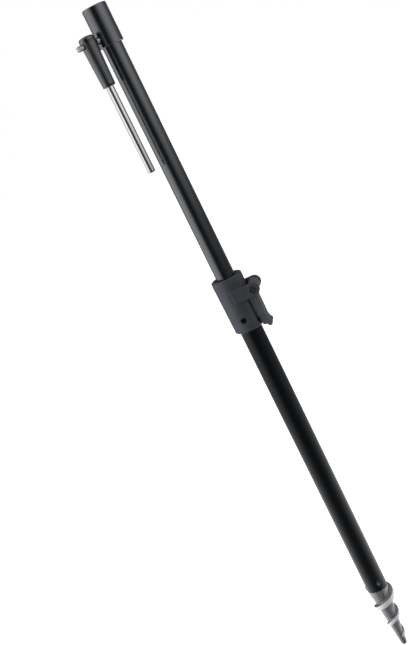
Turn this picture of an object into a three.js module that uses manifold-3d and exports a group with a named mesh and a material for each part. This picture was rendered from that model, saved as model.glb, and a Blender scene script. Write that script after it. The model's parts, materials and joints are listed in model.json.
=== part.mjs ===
// Telescopic bank stick: a rod support that is screwed into the ground by its folding crank.
// Millimetres, +Z up the stick, origin on the axis at the tip of the ground screw.
// It stands at full length with the clamp lever shut and the crank hanging beside the upper tube.

import * as THREE from 'three';
import { mergeVertices } from 'three/addons/utils/BufferGeometryUtils.js';
import Module from 'manifold-3d';

const wasm = await Module();
wasm.setup();

// Stretches along the stick, from the tip up
const screwLength = 65;
const lowerTubeReach = 267.5;
const clampHeight = 47.5;
const upperTubeReach = 202;
const collarHeight = 31;

// Clearances
const slideGap = 0.1;
const seatGap = 0.25;
const sideGap = 0.3;
const cutOverrun = 2;

// Lower tube and the ground screw plugged into its end
const lowerTubeRadius = 9.5;
const lowerTubeWall = 1;
const lowerTubeInClamp = 22;
const spigotLength = 20;
const spigotChamfer = 1;
const rivetRadius = 2.3;
const rivetHeight = 7.5;
const rivetRecess = 0.25;
const rivetAngle = -62;

// Core of the screw: radius at each depth below the tube's end, down to a rounded tip
const coreNeckRadius = 8.7;
const coreNeckDepth = 8;
const coreUpperRadius = 7;
const coreUpperDepth = 22;
const coreLowerRadius = 4.7;
const coreLowerDepth = 43;
const coreTipRadius = 2.8;

// Flight of the screw: one right-hand helix that grows narrower towards the tip
const flightPitch = 20.7;
const flightTurns = 2.74;
const flightStartRise = 1;
const flightStartAngle = 185;
const flightRadius = 13.6;
const flightEndRadius = 4.8;
const flightCrest = 4.8;
const flightRoot = 8.8;
const flightSink = 1.2;
const flightRunIn = 0.11;
const flightLeastRise = 0.3;

// Clamp body, its ears and the window behind the lever
const clampRadius = 12.8;
const clampFlare = 0.6;
const clampTopChamfer = 1.2;
const clampBottomChamfer = 0.9;
const mouthChamfer = 0.8;
const linerWall = 1;
const linerRecess = 0.8;
const windowDepth = 9;
const windowRing = 3.2;
const earReach = 13.5;
const earThickness = 4;
const earRadius = 5.4;
const pivotReach = 18;
const pivotDepth = 16;
const clampScrewHeight = 10.4;
const clampScrewRadius = 1.5;
const clampScrewHeadRadius = 2.4;
const clampScrewHeadHeight = 1.4;
const clampScrewSink = 1;
const clampScrewSocketRadius = 1.1;
const clampScrewSocketDepth = 0.8;

// Lever: an eccentric head between the ears, and a channel-shaped arm with a finger lip
const camRadius = 5;
const camOffset = 0.5;
const camRoom = 0.6;
const armWidth = 14;
const armWall = 1.4;
const armWeb = 2.3;
const armInnerReach = 12.4;
const armOuterReach = 18.3;
const armSideEnd = 30.6;
const neckInset = 0.35;
const neckRise = 4.6;
const lipReach = 17.8;
const lipDrop = 32.7;
const lipRadius = 2.2;
const pinRadius = 2;
const pinHeadRadius = 2.9;
const pinHeadHeight = 1.1;
const pinSlotWidth = 0.8;
const pinSlotDepth = 0.5;

// Pressure shoe between the lever's head and the upper tube
const shoeWidth = 9.6;
const shoeHeight = 8.6;

// Upper tube, the plug and bush at its lower end
const upperTubeRadius = 8;
const upperTubeWall = 1;
const upperTubeInCollar = 16;
const plugLength = 12;
const flangeHeight = 1.6;
const flangeStep = 0.1;
const stemRadius = 4.9;
const bushHeight = 10;
const bushChamfer = 0.6;
const washerRadius = 7;
const washerHeight = 1.1;
const plugScrewRadius = 1.8;
const plugScrewLength = 9;
const plugScrewHeadRadius = 3.4;
const plugScrewHeadHeight = 2.2;
const plugScrewSlotWidth = 0.9;
const plugScrewSlotDepth = 0.9;

// Collar and threaded socket at the top
const collarRadius = 10;
const collarChamfer = 0.9;
const insertRadius = 6;
const insertLength = 18.7;
const insertRecess = 0.3;
const socketRadius = 4.3;
const socketDepth = 15.2;
const socketChamfer = 0.5;

// Folding crank: tapered grip on a steel rod, hung on one radial screw
const crankAzimuth = 228;
const crankReach = 19.6;
const crankDrop = 24.4;
const gripLength = 40.7;
const gripTopRadius = 6.4;
const gripBottomRadius = 5.1;
const gripAbovePivot = 6.9;
const gripTopRound = 2.4;
const gripBottomRound = 0.8;
const rodRadius = 3.1;
const rodReach = 72;
const rodInGrip = 28;
const rodChamfer = 0.8;
const crankScrewRadius = 1.6;
const crankHeadRadius = 2.2;
const crankHeadHeight = 4.8;
const crankSlotWidth = 0.8;
const crankSlotDepth = 1.3;
const spacerRadius = 2.9;
const nutRadius = 2.9;
const nutHeight = 1.3;
const nutRecess = 1.1;

// Fineness of the round surfaces
const roundSides = 48;
const smallSides = 24;
const nutSides = 6;
const arcSteps = 4;
const lipSteps = 10;
const flightStepsPerTurn = 36;

// Heights and reaches that follow from the sizes above
const tubeEndZ = screwLength;
const clampBottomZ = tubeEndZ + lowerTubeReach;
const clampTopZ = clampBottomZ + clampHeight;
const collarBottomZ = clampTopZ + upperTubeReach;
const collarTopZ = collarBottomZ + collarHeight;
const lowerTubeTopZ = clampBottomZ + lowerTubeInClamp;
const lowerTubeBore = lowerTubeRadius - lowerTubeWall;
const pivotZ = clampTopZ - pivotDepth;
const clampTopRadius = clampRadius + clampFlare;
const earFace = earReach - earThickness;
const linerBore = upperTubeRadius + slideGap;
const linerRadius = linerBore + linerWall;
const linerBottomZ = lowerTubeTopZ + seatGap;
const linerTopZ = clampTopZ - linerRecess;
const neckBore = linerRadius + slideGap;
const bushTopZ = linerBottomZ - seatGap;
const upperTubeBore = upperTubeRadius - upperTubeWall;
const flangeBottomZ = bushTopZ + slideGap;
const upperTubeBottomZ = flangeBottomZ + flangeHeight + slideGap;
const upperTubeTopZ = collarBottomZ + upperTubeInCollar;
const stemBottomZ = bushTopZ - bushHeight - slideGap;
const washerTopZ = stemBottomZ - slideGap;
const insertTopZ = collarTopZ - insertRecess;
const crankZ = collarTopZ - crankDrop;
const gripTopZ = crankZ + gripAbovePivot;
const gripBottomZ = gripTopZ - gripLength;
const camReach = camRadius + camOffset;

const radians = (degrees) => degrees * Math.PI / 180;

// Solids: join and cut closed meshes

function closedMesh(geometry) {
  const bare = geometry.index ? geometry.toNonIndexed() : geometry.clone();
  bare.deleteAttribute('normal');
  bare.deleteAttribute('uv');
  return mergeVertices(bare);
}

function enclosedVolume(points, triangles) {
  const corner = (i) => new THREE.Vector3().fromArray(points, 3 * triangles[i]);
  let volume = 0;
  for (let i = 0; i < triangles.length; i += 3) {
    volume += corner(i).dot(corner(i + 1).cross(corner(i + 2))) / 6;
  }
  return volume;
}

function solid(geometry) {
  const mesh = closedMesh(geometry);
  const points = new Float32Array(mesh.attributes.position.array);
  const triangles = [];
  for (let i = 0; i < mesh.index.count; i += 3) {
    const [a, b, c] = [mesh.index.getX(i), mesh.index.getX(i + 1), mesh.index.getX(i + 2)];
    if (a !== b && b !== c && c !== a) triangles.push(a, b, c);
  }
  if (enclosedVolume(points, triangles) < 0) triangles.reverse();
  const triVerts = new Uint32Array(triangles);
  return new wasm.Manifold(new wasm.Mesh({ numProp: 3, vertProperties: points, triVerts }));
}

function surface(body) {
  const mesh = body.getMesh();
  const geometry = new THREE.BufferGeometry();
  geometry.setAttribute('position', new THREE.BufferAttribute(mesh.vertProperties, 3));
  geometry.setIndex(new THREE.BufferAttribute(mesh.triVerts, 1));
  geometry.computeVertexNormals();
  return geometry;
}

const joined = (...bodies) => bodies.reduce((whole, body) => whole.add(body));
const cutBy = (body, ...tools) => tools.reduce((rest, tool) => rest.subtract(tool), body);

// A profile of [radius, z] corners turned about the stick's axis
function turned(profile, sides = roundSides) {
  const points = [...profile, profile[0]].map(([r, z]) => new THREE.Vector2(r, z));
  return solid(new THREE.LatheGeometry(points, sides).rotateX(Math.PI / 2));
}

// A round bar along X between two places, at a given depth along Y and height
function barAlongX(radius, fromX, toX, y, z, sides = smallSides) {
  const bar = new THREE.CylinderGeometry(radius, radius, toX - fromX, sides);
  return solid(bar.rotateZ(-Math.PI / 2).translate((fromX + toX) / 2, y, z));
}

function barAlongY(radius, fromY, toY, x, z, sides = smallSides) {
  const bar = new THREE.CylinderGeometry(radius, radius, toY - fromY, sides);
  return solid(bar.translate(x, (fromY + toY) / 2, z));
}

function barAlongZ(radius, fromZ, toZ, sides = smallSides) {
  const bar = new THREE.CylinderGeometry(radius, radius, toZ - fromZ, sides);
  return solid(bar.rotateX(Math.PI / 2).translate(0, 0, (fromZ + toZ) / 2));
}

function block([fromX, toX], [fromY, toY], [fromZ, toZ]) {
  const box = new THREE.BoxGeometry(toX - fromX, toY - fromY, toZ - fromZ);
  return solid(box.translate((fromX + toX) / 2, (fromY + toY) / 2, (fromZ + toZ) / 2));
}

const both = (half) => [-half, half];
const about = (centre, half) => [centre - half, centre + half];

// Named meshes

function piece(name, body, color, roughness, metalness) {
  const material = new THREE.MeshStandardMaterial({ color, roughness, metalness });
  const mesh = new THREE.Mesh(surface(body), material);
  mesh.name = name;
  return mesh;
}

const anodised = (name, body) => piece(name, body, 0x1f2023, 0.38, 0.6);
const mattBlack = (name, body) => piece(name, body, 0x232527, 0.55, 0.35);
const greyNylon = (name, body) => piece(name, body, 0x55575c, 0.6, 0);
const blackNylon = (name, body) => piece(name, body, 0x18191b, 0.55, 0);
const steel = (name, body) => piece(name, body, 0xb9bbc0, 0.25, 0.95);
const blackSteel = (name, body) => piece(name, body, 0x141416, 0.45, 0.8);
const castAlloy = (name, body) => piece(name, body, 0xa6a6aa, 0.3, 0.9);

// Lower tube, with a hole for each clamp screw and for the rivet

const rivetZ = tubeEndZ + rivetHeight;
const clampScrewZ = clampBottomZ + clampScrewHeight;
const rivetTurn = [0, 0, rivetAngle];

function rivetBar(radius, halfLength) {
  return barAlongX(radius, -halfLength, halfLength, 0, rivetZ).rotate(rivetTurn);
}

function lowerTube() {
  const wall = turned([
    [lowerTubeBore, tubeEndZ],
    [lowerTubeRadius, tubeEndZ],
    [lowerTubeRadius, lowerTubeTopZ],
    [lowerTubeBore, lowerTubeTopZ],
  ]);
  const screwHole = lowerTubeRadius + cutOverrun;
  return cutBy(
    wall,
    barAlongY(clampScrewRadius + slideGap, -screwHole, screwHole, 0, clampScrewZ),
    rivetBar(rivetRadius + slideGap, screwHole),
  );
}

// Ground screw: spigot, rim, tapered core and the helical flight

const coreCorners = [
  [coreNeckRadius, coreNeckDepth],
  [coreUpperRadius, coreUpperDepth],
  [coreLowerRadius, coreLowerDepth],
  [coreTipRadius, screwLength - coreTipRadius],
];

function screwCore() {
  const rimZ = tubeEndZ - seatGap;
  const spigotRadius = lowerTubeBore - slideGap;
  const spigotTopZ = tubeEndZ + spigotLength;
  const tip = Array.from({ length: arcSteps }, (_, i) => {
    const turn = Math.PI / 2 * (i + 1) / arcSteps;
    return [coreTipRadius * Math.cos(turn), coreTipRadius * (1 - Math.sin(turn))];
  });
  tip[arcSteps - 1][0] = 0;
  return turned([
    [0, spigotTopZ],
    [spigotRadius - spigotChamfer, spigotTopZ],
    [spigotRadius, spigotTopZ - spigotChamfer],
    [spigotRadius, rimZ],
    [lowerTubeRadius, rimZ],
    ...coreCorners.map(([radius, depth]) => [radius, tubeEndZ - depth]),
    ...tip,
  ]);
}

function coreRadiusAt(depth) {
  const corners = [[lowerTubeRadius, 0], ...coreCorners];
  const below = corners.findIndex((corner) => corner[1] >= Math.max(depth, 0));
  const [lowRadius, lowDepth] = corners[below > 0 ? below : 1];
  const [highRadius, highDepth] = corners[below > 0 ? below - 1 : 0];
  const share = (depth - highDepth) / (lowDepth - highDepth);
  return highRadius + (lowRadius - highRadius) * share;
}

function crestRadiusAt(depth, runShare) {
  const endDepth = flightPitch * flightTurns - flightStartRise;
  const taper = Math.max(0, depth) / endDepth;
  const full = flightRadius + (flightEndRadius - flightRadius) * taper;
  const core = coreRadiusAt(depth);
  return core + Math.max(flightLeastRise, full - core) * runShare;
}

function screwFlight() {
  const steps = Math.round(flightTurns * flightStepsPerTurn);
  const positions = [];
  for (let i = 0; i <= steps; i += 1) {
    const turns = flightTurns * i / steps;
    const depth = flightPitch * turns - flightStartRise;
    const angle = radians(flightStartAngle) - 2 * Math.PI * turns;
    const runIn = Math.min(1, turns / flightRunIn, (flightTurns - turns) / flightRunIn);
    const crest = crestRadiusAt(depth, runIn);
    const root = coreRadiusAt(depth) - flightSink;
    const width = crest / flightRadius * (1 + runIn) / 2;
    const section = [
      [root, flightRoot * width / 2],
      [crest, flightCrest * width / 2],
      [crest, -flightCrest * width / 2],
      [root, -flightRoot * width / 2],
    ];
    for (const [radius, rise] of section) {
      positions.push(radius * Math.cos(angle), radius * Math.sin(angle), tubeEndZ - depth + rise);
    }
  }
  const aboveRim = barAlongZ(flightRadius + cutOverrun, tubeEndZ - seatGap, tubeEndZ + spigotLength);
  return cutBy(solid(sweptSections(positions, steps, 4)), aboveRim);
}

// A closed skin over a row of sections with the same number of corners
function sweptSections(positions, steps, corners) {
  const index = [];
  for (let i = 0; i < steps; i += 1) {
    for (let k = 0; k < corners; k += 1) {
      const next = (k + 1) % corners;
      const [a, b] = [i * corners + k, i * corners + next];
      index.push(a, b, b + corners, a, b + corners, a + corners);
    }
  }
  const last = steps * corners;
  for (let k = 1; k < corners - 1; k += 1) {
    index.push(0, k + 1, k, last, last + k, last + k + 1);
  }
  const geometry = new THREE.BufferGeometry();
  geometry.setAttribute('position', new THREE.Float32BufferAttribute(positions, 3));
  geometry.setIndex(index);
  return geometry;
}

function groundScrew() {
  const screw = joined(screwCore(), screwFlight());
  return cutBy(screw, rivetBar(rivetRadius + slideGap, lowerTubeRadius));
}

function spikeRivet() {
  return rivetBar(rivetRadius, lowerTubeRadius - rivetRecess);
}

// Clamp body

function clampShell() {
  const socketBore = lowerTubeRadius + slideGap;
  return turned([
    [socketBore, clampBottomZ],
    [clampRadius - clampBottomChamfer, clampBottomZ],
    [clampRadius, clampBottomZ + clampBottomChamfer],
    [clampTopRadius, clampTopZ - clampTopChamfer],
    [clampTopRadius - clampTopChamfer, clampTopZ],
    [neckBore + mouthChamfer, clampTopZ],
    [neckBore, clampTopZ - mouthChamfer],
    [neckBore, linerBottomZ],
    [socketBore, linerBottomZ],
  ]);
}

function ear(side) {
  const [fromY, toY] = side > 0 ? [earFace, earReach] : [-earReach, -earFace];
  return joined(
    block([0, pivotReach], [fromY, toY], about(pivotZ, earRadius)),
    barAlongY(earRadius, fromY, toY, pivotReach, pivotZ),
  );
}

function pinRecess(side) {
  const outer = side * (earReach + cutOverrun);
  const floor = side * (earReach - pinHeadHeight - slideGap - seatGap);
  const [fromY, toY] = side > 0 ? [floor, outer] : [outer, floor];
  return barAlongY(pinHeadRadius + slideGap, fromY, toY, pivotReach, pivotZ);
}

function screwRecess(side) {
  const outer = side * (clampTopRadius + cutOverrun);
  const floor = side * (clampRadius - clampScrewSink - clampScrewHeadHeight);
  const [fromY, toY] = side > 0 ? [floor, outer] : [outer, floor];
  return barAlongY(clampScrewHeadRadius + slideGap, fromY, toY, 0, clampScrewZ);
}

function clampBody() {
  const outside = earReach + cutOverrun;
  const camPocket = block(
    [pivotReach - camReach - sideGap - slideGap, outside],
    both(earFace),
    about(pivotZ, camReach + camRoom),
  );
  const shoeHole = block([0, outside], both(shoeWidth / 2 + slideGap),
    about(pivotZ, shoeHeight / 2 + slideGap));
  const leverWindow = block([windowDepth, outside], both(outside),
    [clampBottomZ + windowRing, pivotZ - earRadius]);
  const pinBore = barAlongY(pinRadius + slideGap, -outside, outside, pivotReach, pivotZ);
  const screwBore = barAlongY(clampScrewRadius + slideGap, -outside, outside, 0, clampScrewZ);
  return cutBy(
    joined(clampShell(), ear(1), ear(-1)),
    camPocket,
    shoeHole,
    leverWindow,
    pinBore,
    screwBore,
    pinRecess(1),
    pinRecess(-1),
    screwRecess(1),
    screwRecess(-1),
  );
}

// Sleeve that the upper tube runs in, with a window for the shoe
function clampLiner() {
  const sleeve = turned([
    [linerBore, linerBottomZ],
    [linerRadius, linerBottomZ],
    [linerRadius, linerTopZ],
    [linerBore, linerTopZ],
  ]);
  const window = block([0, clampTopRadius], both(shoeWidth / 2 + slideGap),
    about(pivotZ, shoeHeight / 2 + slideGap));
  return cutBy(sleeve, window);
}

// Screw that holds the clamp body on the lower tube, with a blind hexagonal socket in its head
function clampScrew(side) {
  const headTop = clampRadius - clampScrewSink;
  const headFloor = headTop - clampScrewHeadHeight + slideGap;
  const tip = lowerTubeBore + slideGap;
  const upright = joined(
    barAlongY(clampScrewHeadRadius, headFloor, headTop, 0, clampScrewZ),
    barAlongY(clampScrewRadius, tip, headTop, 0, clampScrewZ),
  );
  const socket = barAlongY(clampScrewSocketRadius, headTop - clampScrewSocketDepth,
    headTop + cutOverrun, 0, clampScrewZ, nutSides);
  const screw = cutBy(upright, socket);
  return side > 0 ? screw : screw.rotate([0, 0, 180]);
}

// Pressure shoe: a block with a hollow face that follows the upper tube
function pressureShoe() {
  const outerX = pivotReach - camReach - sideGap;
  const shoe = block([0, outerX], both(shoeWidth / 2), about(pivotZ, shoeHeight / 2));
  return cutBy(shoe, barAlongZ(linerBore, clampBottomZ, clampTopZ, roundSides));
}

// Lever

function leverArmProfile() {
  const outer = armOuterReach - pivotReach;
  const inner = armInnerReach - pivotReach;
  const lip = lipReach - pivotReach;
  const shape = new THREE.Shape();
  shape.moveTo(inner, 0);
  shape.lineTo(inner, -armSideEnd);
  shape.quadraticCurveTo(inner, -lipDrop, lip - lipRadius, -lipDrop);
  shape.absarc(lip, -lipDrop, lipRadius, Math.PI, 2 * Math.PI, false);
  shape.lineTo(lip + lipRadius, -lipDrop);
  shape.quadraticCurveTo(outer, -lipDrop + lipRadius, outer - neckInset, -armSideEnd + neckRise);
  shape.lineTo(outer, 0);
  shape.closePath();
  return shape;
}

// The space between the arm's two side walls
function leverChannel() {
  const inner = armInnerReach - cutOverrun;
  const web = armOuterReach - armWeb;
  return block([inner, web], both(armWidth / 2 - armWall),
    [pivotZ - lipDrop - cutOverrun, pivotZ - camRadius]);
}

function lever() {
  const arm = new THREE.ExtrudeGeometry(leverArmProfile(), {
    depth: armWidth,
    bevelEnabled: false,
    curveSegments: lipSteps,
  });
  arm.rotateX(Math.PI / 2).translate(pivotReach, armWidth / 2, pivotZ);
  const halfHead = earFace - sideGap;
  const head = barAlongY(camRadius, -halfHead, halfHead, pivotReach - camOffset, pivotZ, roundSides);
  const bore = barAlongY(pinRadius + slideGap, -earReach, earReach, pivotReach, pivotZ);
  return cutBy(joined(cutBy(solid(arm), leverChannel()), head), bore);
}

// Lever pin with a slotted head at the front ear, and its round nut at the back ear

function slotAcross(width, fromY, toY) {
  return block(about(pivotReach, pinHeadRadius + cutOverrun), [fromY, toY], about(pivotZ, width / 2));
}

function leverPin() {
  const headTop = -(earReach - seatGap);
  const headFloor = headTop + pinHeadHeight;
  const pin = joined(
    barAlongY(pinHeadRadius, headTop, headFloor, pivotReach, pivotZ),
    barAlongY(pinRadius, headTop, earReach - seatGap - pinSlotDepth, pivotReach, pivotZ),
  );
  return cutBy(pin, slotAcross(pinSlotWidth, headTop - cutOverrun, headTop + pinSlotDepth));
}

function leverNut() {
  const faceY = earReach - seatGap;
  return cutBy(
    barAlongY(pinHeadRadius, faceY - pinHeadHeight, faceY, pivotReach, pivotZ),
    barAlongY(pinRadius + slideGap, earFace, earReach, pivotReach, pivotZ),
  );
}

// Guide bush, plug, washer and screw at the lower end of the upper tube

function guideBush() {
  const outer = lowerTubeBore - slideGap;
  const inner = stemRadius + slideGap;
  const bottomZ = bushTopZ - bushHeight;
  return turned([
    [inner, bottomZ],
    [outer - bushChamfer, bottomZ],
    [outer, bottomZ + bushChamfer],
    [outer, bushTopZ],
    [inner, bushTopZ],
  ]);
}

function innerPlug() {
  const plug = turned([
    [0, stemBottomZ],
    [stemRadius, stemBottomZ],
    [stemRadius, flangeBottomZ],
    [upperTubeRadius - flangeStep, flangeBottomZ],
    [upperTubeRadius - flangeStep, flangeBottomZ + flangeHeight],
    [upperTubeBore - slideGap, flangeBottomZ + flangeHeight],
    [upperTubeBore - slideGap, upperTubeBottomZ + plugLength],
    [0, upperTubeBottomZ + plugLength],
  ]);
  const holeTopZ = washerTopZ + plugScrewLength + seatGap;
  return cutBy(plug, barAlongZ(plugScrewRadius + slideGap, stemBottomZ - cutOverrun, holeTopZ));
}

function plugWasher() {
  const bottomZ = washerTopZ - washerHeight;
  return turned([
    [plugScrewRadius + slideGap, bottomZ],
    [washerRadius, bottomZ],
    [washerRadius, washerTopZ],
    [plugScrewRadius + slideGap, washerTopZ],
  ]);
}

function plugScrew() {
  const headTopZ = washerTopZ - washerHeight - slideGap;
  const headBottomZ = headTopZ - plugScrewHeadHeight;
  const screw = joined(
    barAlongZ(plugScrewHeadRadius, headBottomZ, headTopZ),
    barAlongZ(plugScrewRadius, headBottomZ, washerTopZ + plugScrewLength),
  );
  const slot = block(both(plugScrewHeadRadius + cutOverrun), both(plugScrewSlotWidth / 2),
    [headBottomZ - cutOverrun, headBottomZ + plugScrewSlotDepth]);
  return cutBy(screw, slot);
}

// Upper tube and collar, bored through for the crank's screw

function crankBore(radius, fromX, toX) {
  return barAlongX(radius, fromX, toX, 0, crankZ);
}

function upperTube() {
  const wall = turned([
    [upperTubeBore, upperTubeBottomZ],
    [upperTubeRadius, upperTubeBottomZ],
    [upperTubeRadius, upperTubeTopZ],
    [upperTubeBore, upperTubeTopZ],
  ]);
  const reach = upperTubeRadius + cutOverrun;
  return cutBy(wall, crankBore(crankScrewRadius + slideGap, -reach, reach));
}

function topCollar() {
  const tubeBore = upperTubeRadius + slideGap;
  const insertBore = insertRadius + slideGap;
  const webZ = upperTubeTopZ + seatGap;
  const collar = turned([
    [tubeBore, collarBottomZ],
    [collarRadius, collarBottomZ],
    [collarRadius, collarTopZ - collarChamfer],
    [collarRadius - collarChamfer, collarTopZ],
    [insertBore, collarTopZ],
    [insertBore, webZ],
    [tubeBore, webZ],
  ]);
  const outside = collarRadius + cutOverrun;
  return cutBy(
    collar,
    crankBore(crankScrewRadius + slideGap, -outside, outside),
    crankBore(nutRadius + slideGap, -outside, nutRecess - collarRadius),
  );
}

function threadedInsert() {
  const bottomZ = insertTopZ - insertLength;
  return turned([
    [0, bottomZ],
    [insertRadius, bottomZ],
    [insertRadius, insertTopZ],
    [socketRadius + socketChamfer, insertTopZ],
    [socketRadius, insertTopZ - socketChamfer],
    [socketRadius, insertTopZ - socketDepth],
    [0, insertTopZ - socketDepth],
  ]);
}

// Crank, modelled with its screw pointing along +X

function crankGrip() {
  const arc = (radius, round, z, from) => Array.from({ length: arcSteps + 1 }, (_, i) => {
    const turn = from + Math.PI / 2 * i / arcSteps;
    return [radius - round + round * Math.cos(turn), z + round * Math.sin(turn)];
  });
  const bottom = gripBottomZ + gripBottomRound;
  const top = gripTopZ - gripTopRound;
  const grip = turned([
    [0, gripBottomZ],
    ...arc(gripBottomRadius, gripBottomRound, bottom, -Math.PI / 2),
    ...arc(gripTopRadius, gripTopRound, top, 0),
    [0, gripTopZ],
  ], smallSides).translate([crankReach, 0, 0]);
  const rodHole = barAlongZ(rodRadius + slideGap, gripBottomZ - cutOverrun,
    gripBottomZ + rodInGrip + seatGap).translate([crankReach, 0, 0]);
  const pivotHole = crankBore(crankScrewRadius + slideGap, collarRadius, crankReach + gripTopRadius);
  return cutBy(grip, rodHole, pivotHole);
}

function crankRod() {
  const bottomZ = gripBottomZ - rodReach;
  return turned([
    [0, bottomZ],
    [rodRadius - rodChamfer, bottomZ],
    [rodRadius, bottomZ + rodChamfer],
    [rodRadius, gripBottomZ + rodInGrip],
    [0, gripBottomZ + rodInGrip],
  ], smallSides).translate([crankReach, 0, 0]);
}

function crankScrew() {
  const headX = crankReach + gripTopRadius + slideGap;
  const screw = joined(
    crankBore(crankScrewRadius, nutRecess - collarRadius - nutHeight, headX + crankHeadHeight),
    crankBore(crankHeadRadius, headX, headX + crankHeadHeight),
  );
  const slotFloor = headX + crankHeadHeight - crankSlotDepth;
  const slot = block([slotFloor, slotFloor + crankSlotDepth + cutOverrun],
    both(crankHeadRadius + cutOverrun), about(crankZ, crankSlotWidth / 2));
  return cutBy(screw, slot);
}

function crankSpacer() {
  const inner = collarRadius + slideGap;
  const outer = crankReach - gripTopRadius - slideGap;
  return cutBy(
    crankBore(spacerRadius, inner, outer),
    crankBore(crankScrewRadius + slideGap, inner - cutOverrun, outer + cutOverrun),
  );
}

function crankNut() {
  const innerX = nutRecess - collarRadius - slideGap;
  const outerX = innerX - nutHeight;
  return cutBy(
    barAlongX(nutRadius, outerX, innerX, 0, crankZ, nutSides),
    crankBore(crankScrewRadius + slideGap, outerX - cutOverrun, innerX + cutOverrun),
  );
}

// Assembly

const lowerPart = new THREE.Group();
lowerPart.add(
  mattBlack('lower_tube', lowerTube()),
  castAlloy('ground_screw', groundScrew()),
  steel('spike_rivet', spikeRivet()),
  greyNylon('clamp_body', clampBody()),
  blackNylon('clamp_liner', clampLiner()),
  blackSteel('clamp_screw_front', clampScrew(-1)),
  blackSteel('clamp_screw_back', clampScrew(1)),
  steel('lever_pin', leverPin()),
  steel('lever_nut', leverNut()),
);

const clampLever = new THREE.Group();
clampLever.add(
  greyNylon('clamp_lever', lever()),
  blackNylon('pressure_shoe', pressureShoe()),
);

const upperPart = new THREE.Group();
upperPart.rotation.z = radians(crankAzimuth);
upperPart.add(
  blackNylon('guide_bush', guideBush()),
  anodised('upper_tube', upperTube()),
  blackNylon('inner_plug', innerPlug()),
  steel('plug_washer', plugWasher()),
  steel('plug_screw', plugScrew()),
  anodised('top_collar', topCollar()),
  castAlloy('threaded_insert', threadedInsert()),
  steel('crank_screw', crankScrew()),
  steel('crank_spacer', crankSpacer()),
  steel('crank_nut', crankNut()),
);

const crank = new THREE.Group();
crank.add(
  blackNylon('crank_grip', crankGrip()),
  steel('crank_rod', crankRod()),
);
upperPart.add(crank);

const group = new THREE.Group();
group.name = 'bank_stick';
group.add(lowerPart, clampLever, upperPart);

export default group;
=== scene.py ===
"""Looks for a telescopic bank stick: its tubes, clamp, ground screw and folding crank, on a white background.

Lengths are in metres unless they are multiplied by MM. The stick stands along +Z with the tip of its ground
screw at the origin, and the clamp lever points along +X.
"""

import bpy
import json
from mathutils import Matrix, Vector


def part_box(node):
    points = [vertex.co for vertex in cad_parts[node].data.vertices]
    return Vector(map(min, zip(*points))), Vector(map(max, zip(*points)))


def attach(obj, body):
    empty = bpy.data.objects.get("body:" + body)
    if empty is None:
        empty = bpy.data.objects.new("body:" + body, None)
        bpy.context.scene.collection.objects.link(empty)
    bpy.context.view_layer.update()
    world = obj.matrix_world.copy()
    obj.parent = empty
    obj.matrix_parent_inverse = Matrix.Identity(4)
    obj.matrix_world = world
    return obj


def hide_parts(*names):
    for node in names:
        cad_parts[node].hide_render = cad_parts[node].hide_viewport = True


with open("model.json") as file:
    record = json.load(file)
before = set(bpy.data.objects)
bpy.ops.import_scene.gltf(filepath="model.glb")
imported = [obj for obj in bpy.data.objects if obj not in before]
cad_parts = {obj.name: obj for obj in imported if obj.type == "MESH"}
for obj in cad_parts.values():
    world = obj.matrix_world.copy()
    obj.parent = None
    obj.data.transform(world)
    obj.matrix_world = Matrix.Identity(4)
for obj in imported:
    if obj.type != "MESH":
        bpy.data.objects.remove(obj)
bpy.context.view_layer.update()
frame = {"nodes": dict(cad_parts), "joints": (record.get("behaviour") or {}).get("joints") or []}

import json
import math

import bmesh
import bpy
from bpy.props import FloatProperty, FloatVectorProperty, IntProperty, PointerProperty
from mathutils import Matrix, Vector

bl_info = {
    "name": "Bank stick",
    "version": (1, 0, 0),
    "blender": (4, 5, 0),
    "location": "3D View > Sidebar > Bank stick",
    "description": "Models the visible pieces of a telescopic bank stick around its packed frame",
    "category": "Object",
}

MM = 0.001
JOINTS = {joint["name"]: joint for joint in frame["joints"]}


# Heights and centres that come from the frame

def heights(node):
    """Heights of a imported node's lowest and highest points."""
    return [corner.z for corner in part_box(node)]


TUBE_END, LOWER_TOP = heights("lower_tube")
CLAMP_BOTTOM, CLAMP_TOP = heights("clamp_body")
UPPER_BOTTOM, UPPER_TOP = heights("upper_tube")
COLLAR_BOTTOM, COLLAR_TOP = heights("top_collar")
INSERT_BOTTOM, INSERT_TOP = heights("threaded_insert")
GRIP_BOTTOM, GRIP_TOP = heights("crank_grip")
ROD_BOTTOM, ROD_TOP = heights("crank_rod")
SPIGOT_TOP = heights("ground_screw")[1]
EAR_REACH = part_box("clamp_body")[1].y
PIVOT = Vector(JOINTS["clamp_lever"]["pos_m"])
CRANK = Vector(JOINTS["crank_fold"]["pos_m"])
CRANK_LEVEL = Vector((0, 0, CRANK.z))
CRANK_TURN = math.atan2(CRANK.y, CRANK.x)
CRANK_REACH = math.hypot(CRANK.x, CRANK.y)
CLAMP_SCREW_HEIGHT = sum(heights("clamp_screw_front")) / 2
RIVET_LEVEL = Vector((0, 0, sum(heights("spike_rivet")) / 2))
RIVET_TURN = math.radians(-62)


# Sizes, finishes and studio settings that a user would change

def size_setting(name, description, millimetres):
    return FloatProperty(name=name, description=description, default=millimetres * MM, unit="LENGTH")


def colour_setting(name, description, colour):
    return FloatVectorProperty(name=name, description=description, default=colour, subtype="COLOR")


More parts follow.
